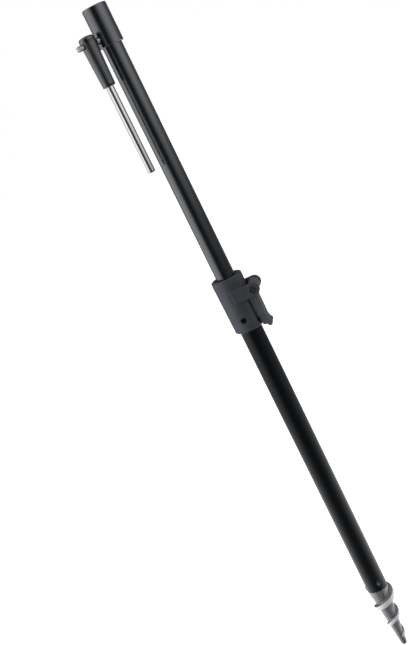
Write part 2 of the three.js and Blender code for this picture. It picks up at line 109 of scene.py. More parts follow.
class BankStickSizes(bpy.types.PropertyGroup):
    lower_radius: size_setting("Lower tube radius", "Outer radius of the lower tube", 9.5)
    upper_radius: size_setting("Upper tube radius", "Outer radius of the upper tube", 8.0)
    tube_wall: size_setting("Tube wall", "Wall thickness of both tubes", 1.0)
    collar_radius: size_setting("Collar radius", "Outer radius of the top collar", 10.0)
    clamp_radius: size_setting("Clamp radius", "Outer radius of the clamp body at its foot", 12.8)
    clamp_flare: size_setting("Clamp flare", "How much wider the clamp body is at its top", 0.6)
    moulding_voxel: size_setting("Moulding fineness", "Finest step kept on the moulded nylon pieces", 0.32)
    casting_voxel: size_setting("Casting fineness", "Finest step kept on the cast ground screw", 0.30)
    grip_ribs: IntProperty(name="Grip ribs", description="Number of ribs round the crank grip", default=32)
    rib_depth: size_setting("Rib depth", "Depth of the grooves between the grip's ribs", 0.10)
    thread_pitch: size_setting("Thread pitch", "Distance between the thread's ridges in the top socket", 1.27)
    thread_depth: size_setting("Thread depth", "Depth of the thread in the top socket", 0.55)


class BankStickFinishes(bpy.types.PropertyGroup):
    nylon: colour_setting(
        "Clamp nylon", "Colour of the moulded clamp and lever", (0.030, 0.032, 0.037))
    satin_black: colour_setting(
        "Satin black", "Colour of the anodised upper tube and collar", (0.0036, 0.0038, 0.0052))
    matt_black: colour_setting(
        "Matt black", "Colour of the anodised lower tube", (0.0020, 0.0025, 0.0031))
    casting: colour_setting(
        "Plated casting", "Colour of the plated ground screw", (0.24, 0.24, 0.25))
    steel: colour_setting(
        "Steel", "Colour of the stainless rod and small steel parts", (0.55, 0.55, 0.56))
    black_steel: colour_setting(
        "Black steel", "Colour of the blackened screws", (0.03, 0.03, 0.033))
    black_nylon: colour_setting(
        "Black nylon", "Colour of the grip and the inner mouldings", (0.007, 0.007, 0.0085))
    brass: colour_setting(
        "Brass", "Colour of the threaded insert", (0.60, 0.44, 0.20))


class BankStickStudio(bpy.types.PropertyGroup):
    left_light: FloatProperty(
        name="Left light", description="Power of the tall soft light on the left", default=5.6, unit="POWER")
    right_light: FloatProperty(
        name="Right light", description="Power of the soft light at the upper right", default=1.5,
        unit="POWER")
    fill: FloatProperty(
        name="Fill", description="Strength of the even light from the room", default=0.50, min=0.0)


# Modelling helpers

def start_fresh():
    """Leaves edit mode and deselects everything."""
    if bpy.context.object and bpy.context.object.mode != "OBJECT":
        bpy.ops.object.mode_set(mode="OBJECT")
    bpy.ops.object.select_all(action="DESELECT")


def make_active(piece):
    start_fresh()
    piece.select_set(True)
    bpy.context.view_layer.objects.active = piece


def apply_place():
    """Puts the selected piece's place, turn and scale into its mesh."""
    bpy.ops.object.transform_apply(location=True, rotation=True, scale=True)


def weld():
    """Selects the whole mesh in edit mode and joins its doubled corners."""
    bpy.ops.mesh.select_all(action="SELECT")
    bpy.ops.mesh.remove_doubles(threshold=0.002 * MM)


def close_edit():
    """Turns every face outwards and leaves edit mode."""
    bpy.ops.mesh.select_all(action="SELECT")
    bpy.ops.mesh.normals_make_consistent(inside=False)
    bpy.ops.object.mode_set(mode="OBJECT")


def select_where(piece, test):
    """Selects the corners of the piece that pass the test, and the edges and faces between them."""
    mesh = bmesh.from_edit_mesh(piece.data)
    for face in mesh.faces:
        face.select = False
    for edge in mesh.edges:
        edge.select = False
    for corner in mesh.verts:
        corner.select = test(corner.co)
    mesh.select_flush(True)
    bmesh.update_edit_mesh(piece.data)


def held(corners):
    """Adds a ring close to each end of a long side, so that its shading isn't bent by the edges beside it."""
    longest, margin = 12 * MM, 0.3 * MM
    rows = [corners[0]]
    for start, end in zip(corners, corners[1:]):
        length = math.dist(start, end)
        if length > longest:
            for share in (margin / length, 1 - margin / length):
                rows.append(tuple(a + (b - a) * share for a, b in zip(start, end)))
        rows.append(end)
    return rows


def turned(name, corners, sides=96):
    """A round piece about Z: a ring at the first (radius, height), extruded and resized to each next one."""
    start_fresh()
    corners = held(corners)
    radius, height = corners[0]
    bpy.ops.mesh.primitive_circle_add(vertices=sides, radius=radius, location=(0, 0, height))
    piece = bpy.context.object
    piece.name = piece.data.name = name
    bpy.ops.object.mode_set(mode="EDIT")
    for next_radius, next_height in corners[1:]:
        bpy.ops.mesh.extrude_region_move(TRANSFORM_OT_translate={"value": (0, 0, next_height - height)})
        ratio = next_radius / radius
        if abs(ratio - 1) > 1e-6:
            bpy.ops.transform.resize(value=(ratio, ratio, 1), center_override=(0, 0, next_height))
        radius, height = next_radius, next_height
    weld()
    bpy.ops.mesh.fill_holes(sides=0)
    close_edit()
    apply_place()
    return piece


def rounded_end(radius, height, round_radius, outwards, steps=3):
    """Corners of a rounded edge between a face at this height and a side at this radius."""
    corners = []
    for i in range(steps + 1):
        turn = math.pi / 2 * i / steps
        corners.append((radius - round_radius * (1 - math.sin(turn)),
                        height - outwards * round_radius * (1 - math.cos(turn))))
    return corners


def drawn_tube(name, outer, wall, bottom, top):
    """A tube with slightly broken edges."""
    inner, edge = outer - wall, 0.18 * MM
    return turned(name, [
        (inner + edge, bottom), (outer - edge, bottom), (outer, bottom + edge), (outer, top - edge),
        (outer - edge, top), (inner + edge, top), (inner, top - edge), (inner, bottom + edge),
        (inner + edge, bottom)], 128)


def sideways(turn, length=1):
    """A level vector at a turn about the stick."""
    return Matrix.Rotation(turn, 4, "Z") @ Vector((length, 0, 0))


def point_along(piece, direction, place):
    """Turns a piece that was made about Z so that its top points along a direction, from a place."""
    piece.rotation_euler = Vector(direction).to_track_quat("Z", "Y").to_euler()
    piece.location = place
    make_active(piece)
    apply_place()
    return piece


def block(low, high):
    """A block between two opposite corners."""
    start_fresh()
    bpy.ops.mesh.primitive_cube_add(size=1, location=[(a + b) / 2 for a, b in zip(low, high)])
    piece = bpy.context.object
    piece.scale = [b - a for a, b in zip(low, high)]
    apply_place()
    return piece


def bar(radius, start, end, sides=48):
    """A round bar between two points."""
    start_fresh()
    start, end = Vector(start), Vector(end)
    bpy.ops.mesh.primitive_cylinder_add(vertices=sides, radius=radius, depth=(end - start).length)
    return point_along(bpy.context.object, end - start, (start + end) / 2)


def cross_bar(radius, x, z, start, end, sides=48):
    """A round bar along Y, as the lever's pin and the clamp's screws lie."""
    return bar(radius, (x, start, z), (x, end, z), sides)


def modify(piece, kind, **settings):
    """Adds a modifier to the piece and applies it."""
    make_active(piece)
    step = piece.modifiers.new(kind.lower(), kind)
    for key, value in settings.items():
        setattr(step, key, value)
    bpy.ops.object.modifier_apply(modifier=step.name)


def combine(piece, operation, *others):
    """Joins other solids to the piece, or cuts them out of it."""
    for other in others:
        modify(piece, "BOOLEAN", operation=operation, solver="EXACT", object=other)
        bpy.data.objects.remove(other)


def cut_slot(piece, face, depth):
    """Cuts a screwdriver slot into a head whose face is at this height."""
    half_length, half_width, overrun = 4 * MM, 0.4 * MM, 1 * MM
    combine(piece, "DIFFERENCE", block((-half_length, -half_width, face - depth),
                                       (half_length, half_width, face + overrun)))


def soften(piece, voxel, share_kept):
    """Rounds every edge a little, as on a moulded or cast piece."""
    modify(piece, "REMESH", mode="VOXEL", voxel_size=voxel, use_smooth_shade=True)
    modify(piece, "SMOOTH", factor=0.5, iterations=2)
    modify(piece, "DECIMATE", ratio=share_kept)
    bpy.ops.object.shade_smooth()


def hand_over(piece, body, slot_name, node, smooth_angle=30):
    """Smooths a finished shape, gives it the finish of its slot, hides the imported node it stands in for,
    and puts it on its CAD body.
    """
    make_active(piece)
    apply_place()
    bpy.ops.object.mode_set(mode="EDIT")
    weld()
    close_edit()
    bpy.ops.object.shade_smooth_by_angle(angle=math.radians(smooth_angle))
    piece.data.materials.clear()
    piece.data.materials.append(finish_of(slot_name))
    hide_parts(node)
    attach(piece, body)


# Shader nodes, and the effects that several finishes share

def add_node(tree, kind, inputs=(), **settings):
    """A node with its settings, and its inputs by name or number: each a plain value or a socket to link."""
    node = tree.nodes.new(kind)
    for key, value in settings.items():
        setattr(node, key, value)
    for place, value in dict(inputs).items():
        if isinstance(value, bpy.types.NodeSocket):
            tree.links.new(value, node.inputs[place])
        else:
            node.inputs[place].default_value = value
    return node


def math_node(tree, operation, first, second):
    return add_node(tree, "ShaderNodeMath", {0: first, 1: second}, operation=operation).outputs[0]


def vector_node(tree, operation, first, second):
    return add_node(tree, "ShaderNodeVectorMath", {0: first, 1: second}, operation=operation).outputs[0]


def ramp(tree, value, low, high, to_low=0.0, to_high=1.0, curve="LINEAR"):
    """Brings a value from one range to another, and holds it at the ends."""
    return add_node(tree, "ShaderNodeMapRange", {
        "Value": value, "From Min": low, "From Max": high, "To Min": to_low, "To Max": to_high,
    }, interpolation_type=curve).outputs["Result"]


def place_on_piece(tree):
    return add_node(tree, "ShaderNodeTexCoord").outputs["Object"]


def noise(tree, place, scale, detail):
    return add_node(tree, "ShaderNodeTexNoise", {
        "Vector": place, "Scale": scale, "Detail": detail}).outputs["Fac"]


def new_group(name, output_names, **inputs):
    """A new node group, what its input sockets put out by name, and the inputs of its output node."""
    group = bpy.data.node_groups.new(name, "ShaderNodeTree")
    for label, value in inputs.items():
        kind = "NodeSocketVector" if isinstance(value, tuple) else "NodeSocketFloat"
        socket = group.interface.new_socket(name=label.replace("_", " "), in_out="INPUT", socket_type=kind)
        socket.default_value = value
    for label in output_names:
        group.interface.new_socket(name=label, in_out="OUTPUT", socket_type="NodeSocketFloat")
    return group, group.nodes.new("NodeGroupInput").outputs, group.nodes.new("NodeGroupOutput").inputs


def grain_group():
    """Uneven grain, stretched along any axis, as a height and as a mask."""
    group, given, result = new_group(
        "grain", ["Height", "Mask"], Scale=200.0, Stretch=(1.0, 1.0, 1.0), Detail=3.0, Low=0.4, High=0.6)
    stretched = vector_node(group, "MULTIPLY", place_on_piece(group), given["Stretch"])
    height = noise(group, stretched, given["Scale"], given["Detail"])
    group.links.new(height, result["Height"])
    group.links.new(ramp(group, height, given["Low"], given["High"], curve="SMOOTHSTEP"), result["Mask"])


def scratch_group():
    """Fine scattered scratches as a mask: thin cell borders of a stretched pattern, kept in patches."""
    group, given, result = new_group(
        "scratches", ["Mask"], Scale=90.0, Stretch=(1.0, 1.0, 0.2), Width=0.03, Patch_Scale=40.0)
    place = place_on_piece(group)
    cells = add_node(group, "ShaderNodeTexVoronoi", {
        "Vector": vector_node(group, "MULTIPLY", place, given["Stretch"]), "Scale": given["Scale"],
    }, feature="DISTANCE_TO_EDGE")
    line = ramp(group, cells.outputs["Distance"], 0.0, given["Width"], 1.0, 0.0)
    kept = ramp(group, noise(group, place, given["Patch Scale"], 1.0), 0.56, 0.66)
    group.links.new(math_node(group, "MULTIPLY", line, kept), result["Mask"])


def worn_end_group():
    """Wear close to one height along the stick, broken up by grain, as a mask."""
    group, given, result = new_group("worn_end", ["Mask"], Level=0.0, Width=1 * MM, Scale=900.0)
    place = place_on_piece(group)
    height = add_node(group, "ShaderNodeSeparateXYZ", {0: place}).outputs["Z"]
    distance = math_node(group, "ABSOLUTE", math_node(group, "SUBTRACT", height, given["Level"]), 0)
    near = ramp(group, distance, 0.0, given["Width"], 1.0, 0.0)
    patch = ramp(group, noise(group, place, given["Scale"], 2.0), 0.35, 0.65)
    group.links.new(math_node(group, "MULTIPLY", near, patch), result["Mask"])


SHARED_EFFECTS = {"grain": grain_group, "scratches": scratch_group, "worn_end": worn_end_group}


def lighter(colour, factor):
    return tuple(min(1.0, value * factor) for value in colour)


class Finish:
    """One Principled material, built up from shared effects."""

    def __init__(self, name, colour, metallic=0.0, specular=0.5, coat=0.0, ior=1.5):
        self.material = bpy.data.materials.new(name)
        self.material.use_nodes = True
        self.tree = self.material.node_tree
        self.inputs = self.tree.nodes["Principled BSDF"].inputs
        values = {"Metallic": metallic, "Specular IOR Level": specular, "IOR": ior, "Coat Weight": coat,
                  "Coat Roughness": 0.19}
        cool_glint = (0.84, 0.91, 1.0, 1.0)
        if metallic == 0.0:
            values["Specular Tint"] = cool_glint
        for label, value in values.items():
            self.inputs[label].default_value = value
        self.own_colour = colour
        self.colour = add_node(self.tree, "ShaderNodeRGB").outputs[0]
        self.colour.default_value = (*colour, 1.0)

    def feed(self, label, socket):
        self.tree.links.new(socket, self.inputs[label])

    def effect(self, group_name, **values):
        """Places a shared effect with its own values, and gives its outputs by name."""
        if group_name not in bpy.data.node_groups:
            SHARED_EFFECTS[group_name]()
        inputs = {key.replace("_", " "): value for key, value in values.items()}
        group = bpy.data.node_groups[group_name]
        return add_node(self.tree, "ShaderNodeGroup", inputs, node_tree=group).outputs

    def tint(self, mask, colour):
        """Mixes another colour in where the mask is high."""
        self.colour = add_node(self.tree, "ShaderNodeMix", {
            0: mask, 6: self.colour, 7: (*colour, 1.0)}, data_type="RGBA").outputs[2]

    def shade(self, mask, factor, strength=1.0):
        """Makes the finish's own colour lighter or darker by a factor where the mask is high."""
        if strength < 1.0:
            mask = math_node(self.tree, "MULTIPLY", mask, strength)
        self.tint(mask, lighter(self.own_colour, factor))

    def roughness(self, mask, smooth, rough):
        self.feed("Roughness", ramp(self.tree, mask, 0.0, 1.0, smooth, rough))

    def bump(self, height, strength, distance):
        node = add_node(self.tree, "ShaderNodeBump", {
            "Strength": strength, "Distance": distance, "Height": height})
        self.feed("Normal", node.outputs["Normal"])

    def done(self):
        self.feed("Base Color", self.colour)
        return self.material


# Finishes

def anodised(name, colour, gloss, specular, coat=0.0, worn_levels=()):
    """Black anodised tube: faint drawing lines along it, fine scratches, and bare metal at its worn edges."""
    bare_metal = (0.16, 0.16, 0.17)
    finish = Finish(name, colour, specular=specular, coat=coat)
    lines = finish.effect("grain", Scale=1500.0, Stretch=(1.0, 1.0, 0.01), Detail=2.0, Low=0.3, High=0.7)
    cloud = finish.effect("grain", Scale=60.0, Stretch=(1.0, 1.0, 0.5), Detail=3.0, Low=0.3, High=0.7)
    finish.shade(cloud["Mask"], 1.35)
    scratches = finish.effect("scratches", Scale=70.0, Stretch=(1.0, 1.0, 0.12), Width=0.008)
    finish.shade(scratches["Mask"], 6.0, 0.12)
    for level in worn_levels:
        worn = finish.effect("worn_end", Level=level, Width=0.6 * MM, Scale=700.0)
        finish.tint(worn["Mask"], bare_metal)
    finish.roughness(lines["Mask"], gloss, gloss + 0.04)
    finish.bump(lines["Height"], 0.05, 0.02 * MM)
    return finish.done()


def moulded_nylon(name, colour, grain_scale=1600.0, grain_depth=0.05, smooth=0.50, coat=0.0, ior=1.5):
    """Glass-filled nylon: a fine eroded grain, slight cloudiness and paler scuffs."""
    finish = Finish(name, colour, coat=coat, ior=ior)
    grain = finish.effect("grain", Scale=grain_scale, Detail=3.0, Low=0.35, High=0.65)
    cloud = finish.effect("grain", Scale=110.0, Detail=2.0, Low=0.35, High=0.7)
    finish.shade(cloud["Mask"], 1.22)
    scuffs = finish.effect(
        "scratches", Scale=150.0, Stretch=(1.0, 1.0, 0.5), Width=0.012, Patch_Scale=70.0)
    finish.shade(scuffs["Mask"], 2.2, 0.3)
    finish.roughness(grain["Mask"], smooth, smooth + 0.14)
    finish.bump(grain["Height"], 0.35, grain_depth * MM)
    return finish.done()


def crest_mask(tree):
    """High on the outer edge of the ground screw's flight, whose radius shrinks towards the tip."""
    place = place_on_piece(tree)
    height = add_node(tree, "ShaderNodeSeparateXYZ", {0: place}).outputs["Z"]
    level = vector_node(tree, "MULTIPLY", place, (1, 1, 0))
    radius = add_node(tree, "ShaderNodeVectorMath", {0: level}, operation="LENGTH").outputs["Value"]
    flight_end = TUBE_END - flight_place(FLIGHT_STEPS)[0]
    crest = ramp(tree, height, flight_end, TUBE_END, FLIGHT_END_RADIUS, FLIGHT_RADIUS)
    beyond = math_node(tree, "SUBTRACT", radius, crest)
    return ramp(tree, beyond, -1.2 * MM, -0.5 * MM, curve="SMOOTHSTEP")


def plated_casting(name, colour):
    """Plating over a casting: soft unevenness, dull patches, and a crest made lighter and less metallic,
    partly as wear from the soil and partly as a painted highlight.
    """
    plated, rubbed_and_highlit = 0.66, 0.30
    finish = Finish(name, colour, metallic=plated)
    swell = finish.effect("grain", Scale=240.0, Detail=3.0, Low=0.3, High=0.7)
    patch = finish.effect("grain", Scale=420.0, Stretch=(1.0, 1.0, 0.45), Detail=4.0, Low=0.5, High=0.72)
    finish.shade(patch["Mask"], 0.42)
    scratches = finish.effect(
        "scratches", Scale=260.0, Stretch=(1.0, 1.0, 2.5), Width=0.02, Patch_Scale=120.0)
    finish.shade(scratches["Mask"], 0.45)
    # Painted highlight: the crest of the flight is made lighter and less metallic, partly as soil wear and
    # partly as a highlight painted into its colour.
    crest = crest_mask(finish.tree)
    finish.shade(crest, 2.9)
    finish.feed("Metallic", ramp(finish.tree, crest, 0.0, 1.0, plated, rubbed_and_highlit))
    finish.roughness(patch["Mask"], 0.30, 0.46)
    finish.bump(swell["Height"], 0.7, 0.2 * MM)
    return finish.done()


def bright_steel(name, colour, smooth, rough):
    """Drawn steel rod and small fittings: fine upright lines and faint stains."""
    finish = Finish(name, colour, metallic=1.0)
    lines = finish.effect("grain", Scale=2600.0, Stretch=(1.0, 1.0, 0.02), Detail=2.0, Low=0.3, High=0.7)
    stain = finish.effect("grain", Scale=130.0, Detail=3.0, Low=0.5, High=0.8)
    finish.shade(stain["Mask"], 0.8)
    finish.roughness(lines["Mask"], smooth, rough)
    finish.bump(lines["Height"], 0.08, 0.01 * MM)
    return finish.done()


def blackened_steel(name, colour):
    """Black oxide steel: oily dark film, worn brighter in patches."""
    finish = Finish(name, colour, metallic=0.85)
    film = finish.effect("grain", Scale=900.0, Detail=3.0, Low=0.45, High=0.75)
    finish.shade(film["Mask"], 2.0)
    finish.roughness(film["Mask"], 0.34, 0.5)
    finish.bump(film["Height"], 0.2, 0.02 * MM)
    return finish.done()


def turned_brass(name, colour):
    """Turned brass: fine tool lines round the piece and a slightly tarnished film."""
    finish = Finish(name, colour, metallic=1.0)
    lines = finish.effect("grain", Scale=1400.0, Stretch=(0.05, 0.05, 1.0), Detail=2.0, Low=0.3, High=0.7)
    film = finish.effect("grain", Scale=260.0, Detail=3.0, Low=0.45, High=0.75)
    finish.shade(film["Mask"], 0.7)
    finish.roughness(lines["Mask"], 0.22, 0.34)
    finish.bump(lines["Height"], 0.2, 0.02 * MM)
    return finish.done()


def finish_recipes():
    """For each slot: what makes its finish, from which colour, how much lighter, and its other settings."""
    colours = bpy.context.scene.bank_stick_finishes
    collar_edges = [COLLAR_BOTTOM, COLLAR_TOP]
    return {
        "lower_tube": (anodised, colours.matt_black, 1.0, {
            "gloss": 0.27, "specular": 0.42, "worn_levels": [TUBE_END]}),
        "upper_tube": (anodised, colours.satin_black, 1.0, {
            "gloss": 0.22, "specular": 1.0, "coat": 0.8}),
        "top_collar": (anodised, colours.satin_black, 1.0, {
            "gloss": 0.21, "specular": 1.0, "coat": 0.8, "worn_levels": collar_edges}),
        "ground_screw": (plated_casting, colours.casting, 1.0, {}),
        "spike_rivet": (blackened_steel, colours.black_steel, 3.0, {}),
        "clamp_body": (moulded_nylon, colours.nylon, 1.0, {}),
        # Painted light: the lever is the same nylon as the body, made twice as light to stand in for the
        # light falling on its faces.
        "clamp_lever": (moulded_nylon, colours.nylon, 2.0, {}),
        "clamp_liner": (
            moulded_nylon, colours.black_nylon, 1.0, {"grain_scale": 2200.0, "grain_depth": 0.03}),
        "clamp_screw": (blackened_steel, colours.black_steel, 0.6, {}),
        "lever_pin": (blackened_steel, colours.black_steel, 2.6, {}),
        "black_nylon": (
            moulded_nylon, colours.black_nylon, 1.3, {"grain_scale": 1800.0, "grain_depth": 0.04}),
        "crank_grip": (moulded_nylon, colours.black_nylon, 0.5, {
            "grain_scale": 1300.0, "grain_depth": 0.01, "smooth": 0.17, "coat": 1.0, "ior": 1.7}),
        "crank_rod": (bright_steel, colours.steel, 1.0, {"smooth": 0.06, "rough": 0.14}),
        # The small steel is the rod's steel made darker: partly duller steel, partly painted shade on the
        # crank spacer in the gap between grip and collar.
        "small_steel": (bright_steel, colours.steel, 0.6, {"smooth": 0.2, "rough": 0.32}),
        "threaded_insert": (turned_brass, colours.brass, 1.0, {}),
    }


def finish_of(slot_name):
    """The finish of one slot, made when it is first asked for. The frame's own plain materials already carry
    the slots' names, so a finish has a longer name than its slot."""
    name = slot_name + "_finish"
    if name not in bpy.data.materials:
        make, colour, factor, settings = finish_recipes()[slot_name]
        make(name, lighter(colour, factor), **settings)
    return bpy.data.materials[name]


# Lower tube and ground screw

RIVET_BORE = 2.4 * MM
CLAMP_SCREW_BORE = 1.6 * MM
TUBE_CUT = 12 * MM


class BANKSTICK_OT_lower_tube(bpy.types.Operator):
    """Model the lower tube with its broken edges, the sunk hole for the rivet and the clamp screws' holes"""
    bl_idname = "bank_stick.lower_tube"
    bl_label = "Lower tube"

    def execute(self, context):
        sizes = context.scene.bank_stick_sizes
        outer = sizes.lower_radius
        tube = drawn_tube("lower_tube_drawn", outer, sizes.tube_wall, TUBE_END, LOWER_TOP)
        inside, sunk = 5 * MM, 0.55 * MM
        for side in (1, -1):
            sink = turned("sink", [
                (RIVET_BORE, inside), (RIVET_BORE, outer - sunk), (3.3 * MM, outer + 0.1 * MM),
                (3.6 * MM, outer + 2 * MM)], 40)
            point_along(sink, sideways(RIVET_TURN) * side, RIVET_LEVEL)
            screw_hole = cross_bar(CLAMP_SCREW_BORE, 0, CLAMP_SCREW_HEIGHT, 0, side * TUBE_CUT, 24)
            combine(tube, "DIFFERENCE", sink, screw_hole)
        hand_over(tube, "lower_section", "lower_tube", "lower_tube")
        return {"FINISHED"}


class BANKSTICK_OT_spike_rivet(bpy.types.Operator):
    """Model the rivet that holds the screw in the tube, with its two dished ends"""
    bl_idname = "bank_stick.spike_rivet"
    bl_label = "Spike rivet"

    def execute(self, context):
        reach = 9.25 * MM
        half = [(1.0 * MM, reach - 0.75 * MM), (1.6 * MM, reach - 0.45 * MM), (2.0 * MM, reach),
                (2.2 * MM, reach - 0.05 * MM), (2.3 * MM, reach - 0.2 * MM)]
        rivet = turned("spike_rivet_dished", half + [(r, -z) for r, z in reversed(half)], 40)
        point_along(rivet, sideways(RIVET_TURN), RIVET_LEVEL)
        hand_over(rivet, "lower_section", "spike_rivet", "spike_rivet")
        return {"FINISHED"}


# Core of the ground screw in millimetres: radius, and depth below the tube's end
SCREW_CORE = [
    (9.5, 0.25), (9.45, 1.2), (8.75, 8.0), (8.1, 12.0), (7.0, 22.0), (5.9, 32.0), (4.75, 43.0), (3.9, 52.0),
    (3.0, 61.0), (2.8, 62.2), (2.45, 63.6), (1.8, 64.5), (0.9, 64.9),
]
FLIGHT_PITCH = 20.7 * MM
FLIGHT_TURNS = 2.74
FLIGHT_START_RISE = 1.0 * MM
FLIGHT_START_TURN = math.radians(185)
FLIGHT_ROOT = 8.0 * MM
FLIGHT_RADIUS = 13.6 * MM
FLIGHT_END_RADIUS = 4.8 * MM
FLIGHT_THICKNESS = 8.8 * MM
FLIGHT_CREST_SHARE = 0.56
FLIGHT_STEPS = 132
FLIGHT_RUN_IN_TURNS = 0.11


def core_radius_at(depth):
    """Radius of the screw's core at a depth below the tube's end."""
    for (upper, high), (lower, low) in zip(SCREW_CORE, SCREW_CORE[1:]):
        if depth <= low * MM:
            share = max(0.0, (depth / MM - high) / (low - high))
            return (upper + (lower - upper) * share) * MM
    return SCREW_CORE[-1][0] * MM


def flight_place(step):
    """Depth below the tube's end and crest radius of the flight at a step."""
    depth = FLIGHT_PITCH * FLIGHT_TURNS * step / FLIGHT_STEPS - FLIGHT_START_RISE
    end_depth = FLIGHT_PITCH * FLIGHT_TURNS - FLIGHT_START_RISE
    share = max(0.0, depth) / end_depth
    return depth, FLIGHT_RADIUS + (FLIGHT_END_RADIUS - FLIGHT_RADIUS) * share


def screw_flight():
    """The flight: one section extruded round the core, lowered and shrunk a little at each step."""
    start_fresh()
    depth, crest = flight_place(0)
    middle = ((FLIGHT_ROOT + crest) / 2, 0, 0)
    bpy.ops.mesh.primitive_plane_add(size=1, rotation=(math.pi / 2, 0, 0), location=middle)
    flight = bpy.context.object
    flight.name = flight.data.name = "flight"
    flight.scale = (crest - FLIGHT_ROOT, FLIGHT_THICKNESS, 1)
    apply_place()
    bpy.ops.object.mode_set(mode="EDIT")
    select_where(flight, lambda co: co.x > FLIGHT_ROOT + 1 * MM)
    bpy.ops.transform.resize(value=(1, 1, FLIGHT_CREST_SHARE), center_override=(crest, 0, 0))
    bpy.ops.object.mode_set(mode="OBJECT")
    flight.rotation_euler.z = FLIGHT_START_TURN
    flight.location.z = TUBE_END - depth
    apply_place()
    bpy.ops.object.mode_set(mode="EDIT")
    bpy.ops.mesh.select_all(action="SELECT")
    step_turn = 2 * math.pi * FLIGHT_TURNS / FLIGHT_STEPS
    for step in range(1, FLIGHT_STEPS + 1):
        next_depth, next_crest = flight_place(step)
        bpy.ops.mesh.extrude_region_move(TRANSFORM_OT_translate={"value": (0, 0, depth - next_depth)})
        middle = (0, 0, TUBE_END - next_depth)
        bpy.ops.transform.rotate(value=step_turn, orient_axis="Z", center_override=middle)
        ratio = next_crest / crest
        bpy.ops.transform.resize(value=(ratio, ratio, ratio), center_override=middle)
        depth, crest = next_depth, next_crest
    close_edit()
    return flight


def run_in(flight):
    """Lowers the crest towards the core at both ends of the flight."""
    least, section, outer_share = 0.2 * MM, 4, 0.9
    ramp_steps = FLIGHT_RUN_IN_TURNS / FLIGHT_TURNS * FLIGHT_STEPS
    for step in range(FLIGHT_STEPS + 1):
        share = min(1.0, step / ramp_steps, (FLIGHT_STEPS - step) / ramp_steps)
        if share >= 1.0:
            continue
        depth, crest = flight_place(step)
        for corner in flight.data.vertices[section * step:section * step + section]:
            radius = math.hypot(corner.co.x, corner.co.y)
            if radius > crest * outer_share:
                wanted = core_radius_at(depth) + max(least, (crest - core_radius_at(depth)) * share)
                corner.co.x *= wanted / radius
                corner.co.y *= wanted / radius


class BANKSTICK_OT_ground_screw(bpy.types.Operator):
    """Model the cast ground screw: spigot, tapered core and one helical flight"""
    bl_idname = "bank_stick.ground_screw"
    bl_label = "Ground screw"

    def execute(self, context):
        sizes = context.scene.bank_stick_sizes
        spigot = sizes.lower_radius - sizes.tube_wall - 0.1 * MM
        rim = TUBE_END - 0.25 * MM
        edge = 1 * MM
        corners = [(spigot - edge, SPIGOT_TOP), (spigot, SPIGOT_TOP - edge), (spigot, rim)]
        corners += [(radius * MM, TUBE_END - depth * MM) for radius, depth in SCREW_CORE]
        core = turned("ground_screw_cast", corners)
        flight = screw_flight()
        run_in(flight)
        side, overrun = 20 * MM, 10 * MM
        combine(flight, "DIFFERENCE", block((-side, -side, rim), (side, side, SPIGOT_TOP + overrun)))
        across = sideways(RIVET_TURN, TUBE_CUT)
        combine(core, "UNION", flight)
        combine(core, "DIFFERENCE", bar(RIVET_BORE, RIVET_LEVEL - across, RIVET_LEVEL + across))
        soften(core, sizes.casting_voxel, share_kept=0.6)
        hand_over(core, "lower_section", "ground_screw", "ground_screw", smooth_angle=60)
        return {"FINISHED"}


# Clamp

EAR_RADIUS = 5.4 * MM
PIN_BORE = 2.1 * MM


def clamp_shell(radius, flare):
    """The sleeve of the clamp, a little wider at its top, with its stepped bore."""
    neck, socket, shoulder = 9.2 * MM, 9.6 * MM, LOWER_TOP + 0.25 * MM
    foot_edge, top_edge, neck_edge, socket_edge = 0.9 * MM, 1.2 * MM, 0.8 * MM, 0.3 * MM
    top = radius + flare
    corners = [
        (socket + socket_edge, CLAMP_BOTTOM), (radius - foot_edge, CLAMP_BOTTOM),
        (radius, CLAMP_BOTTOM + foot_edge), (top, CLAMP_TOP - top_edge),
        (top - top_edge / 3, CLAMP_TOP - top_edge / 3), (top - top_edge, CLAMP_TOP),
        (neck + neck_edge, CLAMP_TOP), (neck, CLAMP_TOP - neck_edge), (neck, shoulder), (socket, shoulder),
        (socket, CLAMP_BOTTOM + socket_edge), (socket + socket_edge, CLAMP_BOTTOM)]
    return turned("clamp_body_moulded", corners, 128)


def clamp_ear(side):
    """One ear: a round bar end whose inner half is drawn back into the sleeve."""
    thickness = 4.0 * MM
    near, far = sorted((side * (EAR_REACH - thickness), side * EAR_REACH))
    ear = cross_bar(EAR_RADIUS, PIVOT.x, PIVOT.z, near, far, 64)
    make_active(ear)
    bpy.ops.object.mode_set(mode="EDIT")
    select_where(ear, lambda co: co.x < PIVOT.x - 0.01 * MM)
    bpy.ops.transform.resize(value=(0, 1, 1), center_override=tuple(PIVOT))
    bpy.ops.transform.translate(value=(-PIVOT.x, 0, 0))
    weld()
    bpy.ops.object.mode_set(mode="OBJECT")
    return ear


